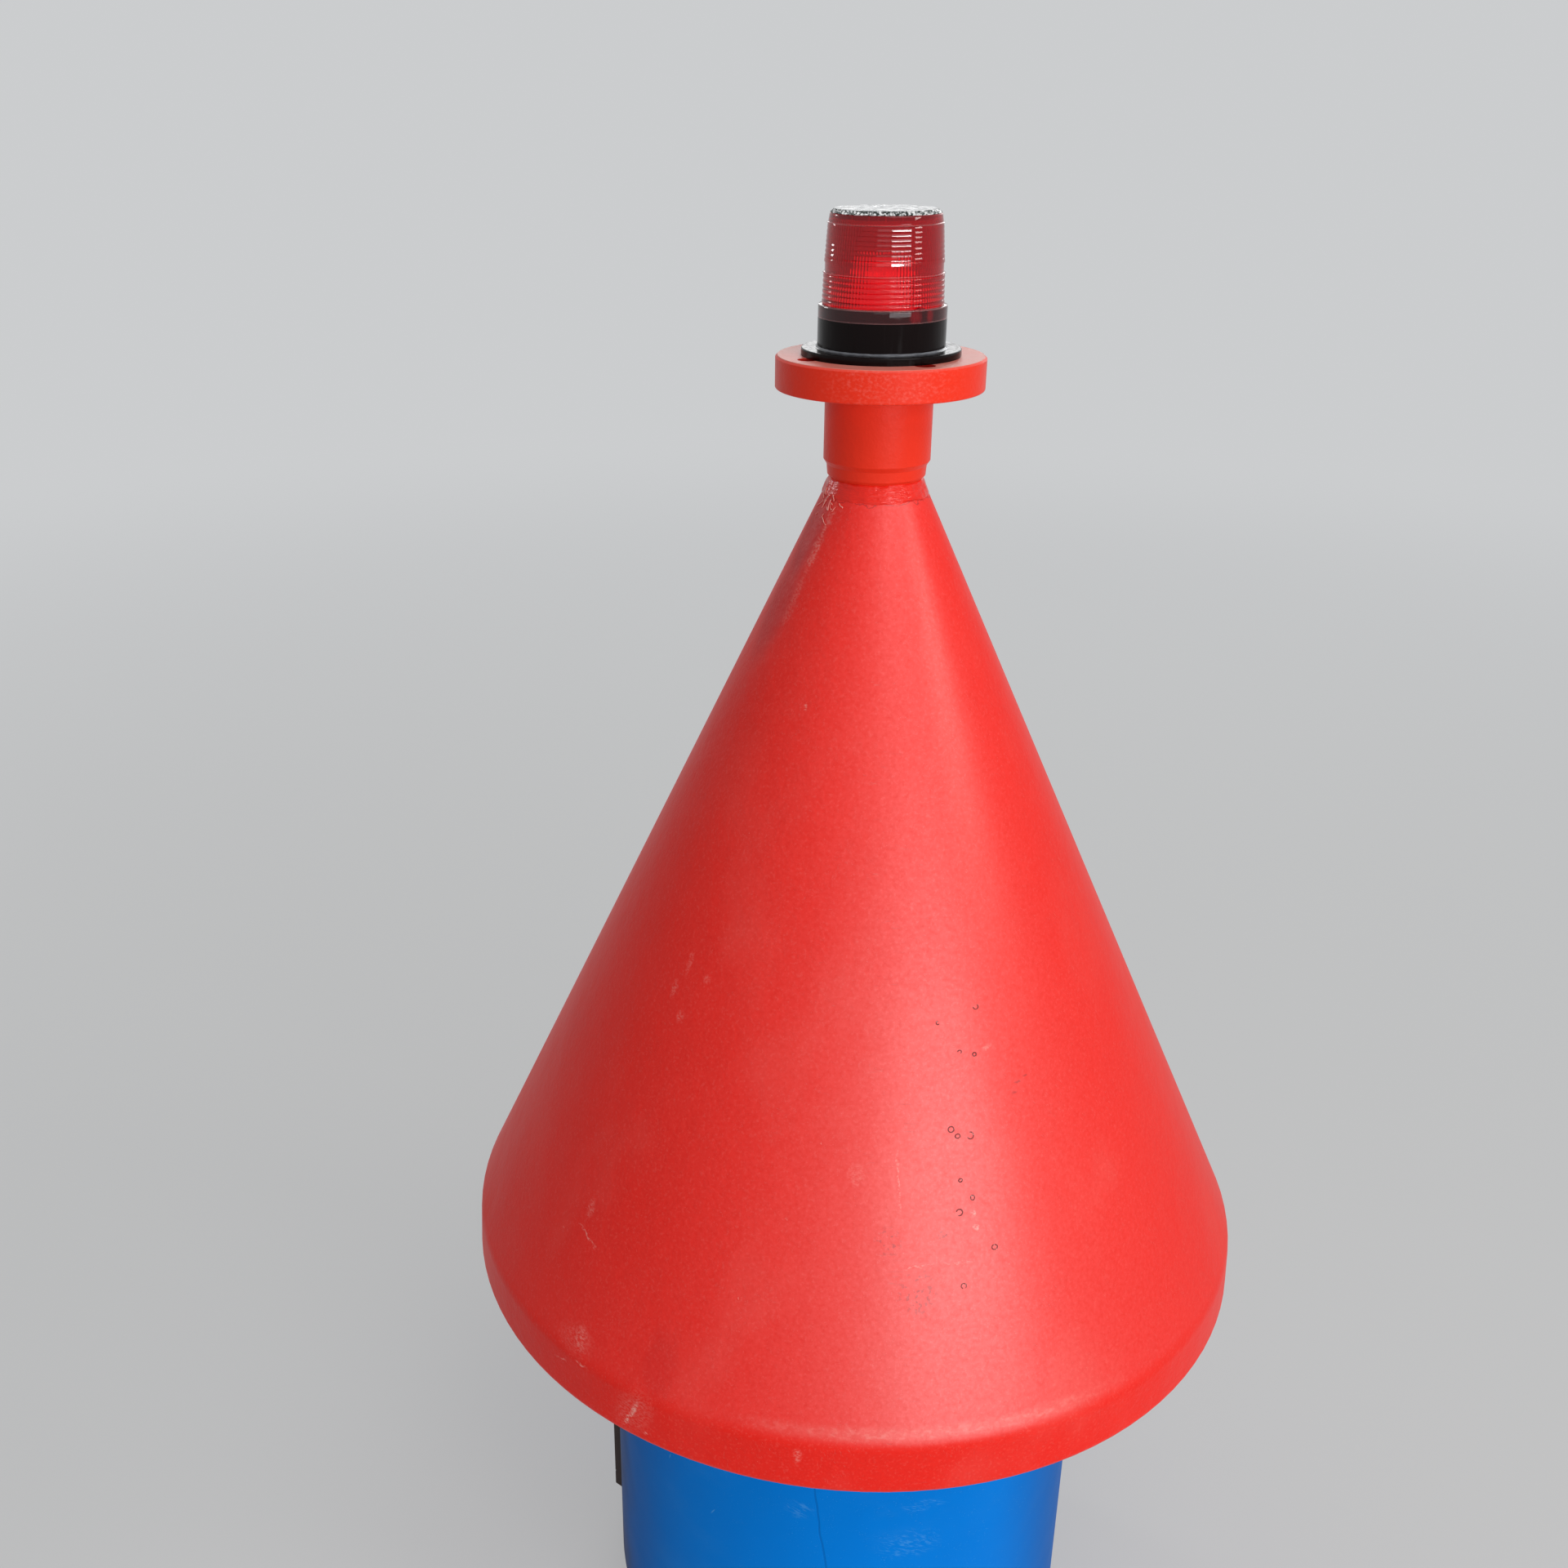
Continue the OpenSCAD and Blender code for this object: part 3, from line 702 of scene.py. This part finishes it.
# Height of the weld's lower edge, and how far off the cone a curl lies on the weld and below it
weld_foot, on_weld, on_cone = 1.3195, 0.0013, 0.0002
draw = random.Random(21)
strands = []
for index in range(curls):
    turn = draw.uniform(*curl_turns)
    height = draw.uniform(*curl_heights)
    bpy.ops.object.select_all(action="DESELECT")
    bpy.ops.curve.primitive_nurbs_path_add()
    strand = bpy.context.object
    points = strand.data.splines[0].points
    drift = draw.uniform(-1.0, 1.0)
    for step, point in enumerate(points):
        turn += drift * draw.uniform(0.5, 4.5)
        height -= draw.uniform(-0.0006, 0.0030)
        stuck_on = on_weld if height > weld_foot else on_cone
        lift = curl_lift * math.sin(math.pi * step / (len(points) - 1)) * draw.random()
        radius = cone_r(height) + stuck_on + lift
        a = math.radians(turn)
        point.co = (math.sin(a) * radius, -math.cos(a) * radius, height, 1)
        point.radius = 0.4 + draw.random()
    strand.data.bevel_depth = curl_thick
    strand.data.bevel_resolution = 1
    strand.data.resolution_u = 5
    strand.data.use_fill_caps = True
    bpy.ops.object.convert(target="MESH")
    strands.append(bpy.context.object)
shaving, place = new_finish("shaving", {})
feed(
    shaving,
    Base_Color=dye(grain(place, 0.004, 2.0), (0.86, 0.12, 0.08), (0.94, 0.55, 0.48)),
    Roughness=0.3 + grain(place, 0.002, 2.0) * 0.3,
)
finish_piece(join(strands), "weld_shavings", shaving, 60)


# The lantern's body and mounting disc: glossy black plastic with faint upright marks.
# A thin fillet of clear sealant runs around the body's foot.
disc_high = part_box("lantern_disc")[1]
body_r = 0.056
seal_wide, seal_high = 0.0022, 0.0016
seal_in_r, seal_foot = body_r - 0.0004, disc_high.z - 0.0003
lantern_black, place = new_finish("lantern_black", {
    "Base Color": (0.005, 0.002, 0.002, 1), "Specular IOR Level": 0.10})
smears = grain(place, (0.004, 0.004, 0.06), 3.0)
feed(
    lantern_black,
    Roughness=0.10 + rise(smears, 0.45, 0.75) * 0.16,
    Normal=relief(smears, 0.00008, relief(grain(place, 0.02, 1.0), 0.0003)),
)
coat("lantern_body", lantern_black)
coat("lantern_disc", lantern_black)

seal = turned_piece([
    (seal_in_r, seal_foot), (body_r + seal_wide, seal_foot),
    (body_r + seal_wide, disc_high.z + 0.0002), (body_r + seal_wide * 0.55, disc_high.z + 0.0004),
    (body_r + seal_wide * 0.2, disc_high.z + seal_high * 0.6),
    (body_r - 0.0001, disc_high.z + seal_high), (seal_in_r, disc_high.z + seal_high),
    (seal_in_r, seal_foot)], 192)
bpy.ops.object.mode_set(mode="OBJECT")
displace(seal, "seal_ripple", 0.006, 0.0005, "Z")
sealant, place = new_finish("sealant", {"Specular IOR Level": 0.6})
feed(
    sealant,
    Base_Color=dye(grain(place, 0.006, 2.0), (0.05, 0.05, 0.06), (0.20, 0.21, 0.23)),
    Roughness=0.10 + grain(place, 0.004, 2.0) * 0.15,
)
finish_piece(seal, "foot_seal", sealant, 60)


# The lens: moulded red acrylic. Outside it has a skirt, six round ribs, a ridge, a clear
# band, eight stepped rings, a second ridge and a plain band. Inside, upright prisms run
# all around, and the skirt slips over the body's collar.
skirt_z, lens_top = [corner.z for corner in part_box("lens")]
skirt_r, skirt_h, skirt_ledge = body_r, 0.011, 0.001
ribs, rib_pitch, rib_depth = 6, 0.0042, 0.0008
steps, step_pitch = 8, 0.0039
# Height of the bright land of each stepped ring, and the depth of its slope, from below
step_lands = (0.0022, 0.0005, 0.0003, 0.0004, 0.0004, 0.0004, 0.0005, 0.0012)
step_depths = (0.0009, 0.0009, 0.0009, 0.0008, 0.0006, 0.0006, 0.0006, 0.0006)
step_foot, land_edge = 0.0003, 0.0001
mid_ridge, high_ridge, ridge_out = 0.0016, 0.0012, 0.0012
clear_band = 0.0078
lens_wall = 0.003
# The inner wall is measured from the solid's ribs, which are deeper than these
solid_rib_depth = 0.0011
high_root = 0.0006
# Radii over the lowest rib, the two ridges and the top
rib_r, mid_r, high_r, band_r = 0.053, 0.05225, 0.0495, 0.04775
ribs_z = skirt_z + skirt_h
ledge_z = ribs_z - skirt_ledge
mid_z = ribs_z + ribs * rib_pitch
steps_z = mid_z + mid_ridge + clear_band
high_z = steps_z + steps * step_pitch
inner_low_r = rib_r - solid_rib_depth - lens_wall
inner_top_r = band_r - lens_wall
ledge = 0.002
panel_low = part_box("solar_panel")[0]
prisms, columns_each = 104, 4
prism_depth = 0.0009
prism_low, prism_high = ledge_z + 0.0015, panel_low.z - 2 * ledge
catch_turn, catch_half, catch_out = -55, 1.7, 0.0013
arch_half, arch_rise = 5.5, 0.0009
lens_crimson = (0.68, 0.002, 0.015)
lens_deep_shade = (0.66, 0.002, 0.014)
skirt_shade_crimson = (0.13, 0.002, 0.005)
edge_highlight_pink = (0.95, 0.42, 0.42)


def between(first, last, share):
    """The value that lies a share of the way from first to last."""
    return first + (last - first) * share


def round_ridge(root, low, height):
    """Outline of a ridge with a round crest."""
    return [(root + ridge_out * math.sin(math.pi * share) ** 0.5, low + share * height)
            for share in (0.05, 0.18, 0.34, 0.5, 0.66, 0.82, 0.95)]


lens_lean = (mid_r - high_r) / (high_z - mid_z)
outline = [(inner_low_r, ledge_z), (skirt_r - lens_wall, ledge_z), (skirt_r - lens_wall, skirt_z),
           (skirt_r, skirt_z), (skirt_r, skirt_z + 0.0012), (skirt_r, ribs_z - 0.0018),
           (skirt_r - 0.0001, ribs_z - 0.0010), (skirt_r - 0.0005, ribs_z - 0.0003),
           (skirt_r - 0.0014, ribs_z),
           (rib_r - rib_depth + 0.0002, ribs_z)]
for rib in range(ribs):
    for share in (0.10, 0.22, 0.36, 0.5, 0.64, 0.78, 0.90, 1.0):
        over = between(rib_r, mid_r, (rib + share) / ribs)
        bulge = math.sin(math.pi * share) ** 0.6 if share < 1 else 0
        outline.append((over - rib_depth * (1 - bulge), ribs_z + (rib + share) * rib_pitch))
outline += round_ridge(mid_r - rib_depth, mid_z, mid_ridge)
band_low_r = mid_r - lens_lean * (mid_ridge + clear_band) - 0.0006
outline += [(band_low_r, mid_z + mid_ridge), (band_low_r, mid_z + mid_ridge + land_edge),
            (band_low_r, steps_z - land_edge), (band_low_r, steps_z)]
for step in range(steps):
    low = steps_z + step * step_pitch
    over, land = mid_r - lens_lean * (low - mid_z), step_lands[step]
    foot, brow = low + step_foot, low + step_foot + land
    brow_r, root = over - lens_lean * land, over - step_depths[step]
    outline += [
        (over - 0.0001, foot - 0.0001), (over, foot),
        (over - lens_lean * land_edge, foot + land_edge),
        (brow_r + lens_lean * land_edge, brow - land_edge), (brow_r, brow),
        *((between(brow_r, root, share ** 1.45), between(brow, low + step_pitch, share))
          for share in (0.12, 0.3, 0.5, 0.7, 0.85, 1.0))]
outline += round_ridge(high_r - high_root, high_z, high_ridge)
outline += [(high_r - high_root, high_z + high_ridge + 0.0002), (band_r + 0.0002, lens_top - 0.0012),
            (band_r, lens_top - 0.0004), (band_r - 0.0005, lens_top), (inner_top_r, lens_top),
            (inner_top_r, panel_low.z), (inner_top_r - ledge, panel_low.z),
            (inner_top_r - ledge, panel_low.z - ledge), (inner_top_r - ledge, prism_high),
            (inner_low_r, prism_low), (inner_low_r, ledge_z)]
columns = prisms * columns_each
lens = turned_piece(outline, columns)


def in_prism(co, chosen):
    """True on the chosen columns of each prism on the lens's inner wall."""
    share = (co.z - prism_low) / (prism_high - prism_low)
    wall_r = between(inner_low_r, inner_top_r - ledge, share)
    column = round(math.atan2(co.y, co.x) / math.tau * columns) % columns_each
    return (-0.01 < share < 1.01 and column in chosen
            and abs(math.hypot(co.x, co.y) - wall_r) < 0.0002)


def near_catch(co, half, low, high):
    """True on the outside of the lens near the catch."""
    off = math.degrees(math.atan2(co.y, co.x)) - catch_turn
    return (abs(off) < half and low - 0.0001 < co.z < high + 0.0001
            and math.hypot(co.x, co.y) > skirt_r - 0.0017)


for chosen, depth in (((1, 3), prism_depth * 0.62), ((2,), prism_depth)):
    select_points(lens, lambda co: in_prism(co, chosen))
    spread = 1 + depth / inner_low_r
    bpy.ops.transform.resize(value=(spread, spread, 1), center_override=(0, 0, 0))
toward = Vector((math.cos(math.radians(catch_turn)), math.sin(math.radians(catch_turn)), 0))
select_points(lens, lambda co: near_catch(co, catch_half, skirt_z, ribs_z))
bpy.ops.transform.translate(value=toward * catch_out)
select_points(lens, lambda co: near_catch(co, arch_half, ribs_z - 0.0008, ribs_z))
bpy.ops.transform.translate(value=(0, 0, arch_rise))
select_points(lens, lambda co: near_catch(co, arch_half * 0.6, ribs_z, ribs_z + arch_rise))
bpy.ops.transform.translate(value=(0, 0, arch_rise))
lens_red, place = new_finish("lens_red", {
    "Transmission Weight": 0.80, "IOR": 1.45, "Specular IOR Level": 0.25})
z = axes(place)[2]
haze = grain(place, 0.010, 3.0)
# Painted highlights on edges that catch the light: height, and how pale they are
edges = [(ribs_z - 0.0004, 0.85), (skirt_z + 0.0003, 0.45), (mid_z + mid_ridge / 2, 0.45),
         (high_z + high_ridge / 2, 0.65)]
shine = 0
for height, strength in edges:
    shine = shine + rise(abs(z - height), 0.0009, 0.0004) * strength
# Painted shade and light on the skirt: painted dark all round, with two painted pools of light right
# of the front
lit = (spot(place, 30, skirt_z + skirt_h / 2, skirt_r, 0.015, 0.016)
       + spot(place, 46, skirt_z + skirt_h / 2, skirt_r, 0.010, 0.016))
# Painted shade: the rings above the middle ridge are a little darker
ringed = dye(rise(z, mid_z, high_z), lens_crimson, lens_deep_shade)
skirt = dye(lit * 0.8, skirt_shade_crimson, lens_crimson)
feed(
    lens_red,
    Base_Color=dye(shine * (0.5 + haze * 0.8), dye(
        rise(z, ribs_z + 0.0002, ribs_z - 0.0006), ringed, skirt), edge_highlight_pink),
    Roughness=0.02 + rise(haze, 0.5, 0.8) * 0.10,
    Normal=relief(haze, 0.00002),
)
finish_piece(lens, "lens_rings", lens_red, 40)
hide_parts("lens")


# Inside the lens: a glossy white reflector, moulded in plastic, on a white circuit board.
# A ring of diodes is soldered around its top. The diodes glow faintly, and the reflector has a painted
# glow.
reflector_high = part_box("reflector")[1]
diodes = 12
diode_size = 0.0035
post_r = 0.019
diode_z = reflector_high.z - 0.007
# The reflector's emission is a painted glow
reflector_white, place = new_finish("reflector_white", {
    "Emission Color": (1.0, 0.30, 0.25, 1), "Emission Strength": 0.8})
wear = grain(place, 0.008, 2.0)
feed(
    reflector_white,
    Base_Color=dye(wear, (0.86, 0.86, 0.87), (0.78, 0.78, 0.79)),
    Roughness=0.15 + wear * 0.15,
)
coat("reflector", reflector_white)
circuit_board, place = new_finish("circuit_board", {"Roughness": 0.35})
tracks = rise(grain(place, (0.004, 0.004, 0.02), 1.0), 0.48, 0.52)
feed(circuit_board, Base_Color=dye(tracks, (0.75, 0.76, 0.74), (0.62, 0.66, 0.63)))
coat("led_board", circuit_board)

chips = []
for index in range(diodes):
    bpy.ops.object.select_all(action="DESELECT")
    bpy.ops.mesh.primitive_cube_add(size=diode_size)
    chip = bpy.context.object
    bpy.ops.object.mode_set(mode="EDIT")
    select_faces(chip, lambda face: face.normal.x > 0.9)
    bpy.ops.mesh.inset(thickness=0.0005)
    bpy.ops.mesh.extrude_region_move(TRANSFORM_OT_translate={"value": (0.0008, 0, 0)})
    bpy.ops.transform.resize(value=(1, 0.6, 0.6))
    bpy.ops.mesh.select_all(action="SELECT")
    bpy.ops.mesh.bevel(offset=0.00025, segments=2, affect="EDGES")
    bpy.ops.object.mode_set(mode="OBJECT")
    chip.matrix_world = (Matrix.Rotation(math.tau * index / diodes, 4, "Z")
                         @ Matrix.Translation((post_r + 0.0006, 0, diode_z)))
    chips.append(chip)
diode_resin, place = new_finish("diode_resin", {
    "Emission Color": (1.0, 0.35, 0.25, 1), "Emission Strength": 1.2})
feed(
    diode_resin,
    Base_Color=dye(grain(place, 0.002, 1.0), (0.85, 0.70, 0.40), (0.90, 0.82, 0.60)),
    Roughness=0.1 + grain(place, 0.003, 1.0) * 0.1,
)
finish_piece(join(chips), "diodes", diode_resin, 40)


# The solar panel under the cover: dark cells cast in clear resin.
# Thin silver lines part the cells and gather their current.
cell_half, line_half = 0.0068, 0.00035
finger_half, finger_line = 0.0011, 0.0001
solar_cell, place = new_finish("solar_cell", {})
x, y = axes(place)[:2]
gaps = rise(x.sum("PINGPONG", x, cell_half), line_half, line_half * 0.6)
fingers = rise(y.sum("PINGPONG", y, finger_half), finger_line, finger_line * 0.4)
lines = larger(gaps, fingers * 0.35)
crystal = grain(place, 0.009, 1.0)
feed(
    solar_cell,
    Base_Color=dye(lines, dye(crystal, (0.006, 0.009, 0.026), (0.014, 0.020, 0.055)),
                   (0.55, 0.56, 0.58)),
    Roughness=0.12 + lines * 0.2,
)
coat("solar_panel", solar_cell)


# The clear cover: moulded acrylic, scratched and dusty, with a bevel around it that is
# notched all the way round. Its near-white colour is partly a painted sheen, and the dark
# specks on the notched bevel are painted reflections.
cover_low, cover_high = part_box("top_cover")
cover_r = 0.04735
cover_land, cover_bevel = 0.0007, 0.0032
teeth = 72
tooth_deep = 0.0010
columns = teeth * columns_each
low, high = cover_low.z, cover_high.z
outline = [(0, low + 0.0002), (cover_r - 0.004, low + 0.0002), (cover_r - 0.0004, low + 0.0001),
           (cover_r, low + 0.0004), (cover_r, low + cover_land)]
for share in (0.03, 0.35, 0.7, 0.97, 1.0):
    outline.append((cover_r - cover_bevel * share, between(low + cover_land, high, share)))
outline += [(cover_r - cover_bevel - 0.0004, high), (0, high)]
cover = turned_piece(outline, columns)


def in_tooth(co):
    """True on half of the columns of the cover's bevel."""
    column = round(math.atan2(co.y, co.x) / math.tau * columns) % columns_each
    return (column < columns_each // 2 and math.hypot(co.x, co.y) > cover_r - cover_bevel - 0.0001
            and co.z > low + cover_land - 0.0001 and co.z < high - 0.00005)


select_points(cover, in_tooth)
shrink = 1 - tooth_deep / cover_r
bpy.ops.transform.resize(value=(shrink, shrink, 1), center_override=(0, 0, 0))
bpy.ops.transform.translate(value=(0, 0, -tooth_deep * 0.5))
# Painted sheen: the cover's base colour is near white, over its scratches and dust
clear_cover, place = new_finish("clear_cover", {"Transmission Weight": 0.25, "IOR": 1.49})
x, y = axes(place)[:2]
dust = rise(grain(place, 0.006, 4.0), 0.45, 0.75)
# Painted reflections: dark specks on the notched bevel
notch_reflection_zone = rise((x * x + y * y) ** 0.5, cover_r - cover_bevel - 0.0012, cover_r - cover_bevel)
specks = rise(grain(place, 0.0030, 2.0), 0.46, 0.54)
blotch = rise(grain(place, (0.020, 0.008, 0.008), 4.0), 0.50, 0.62)
feed(
    clear_cover,
    Base_Color=dye(larger(notch_reflection_zone * specks, blotch * 0.22), (0.97, 0.98, 0.98), (0.04, 0.055, 0.05)),
    Roughness=0.05 + dust * 0.20,
    Normal=relief(dust, 0.00006),
)
finish_piece(cover, "knurled_cover", clear_cover, 20)
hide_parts("top_cover")
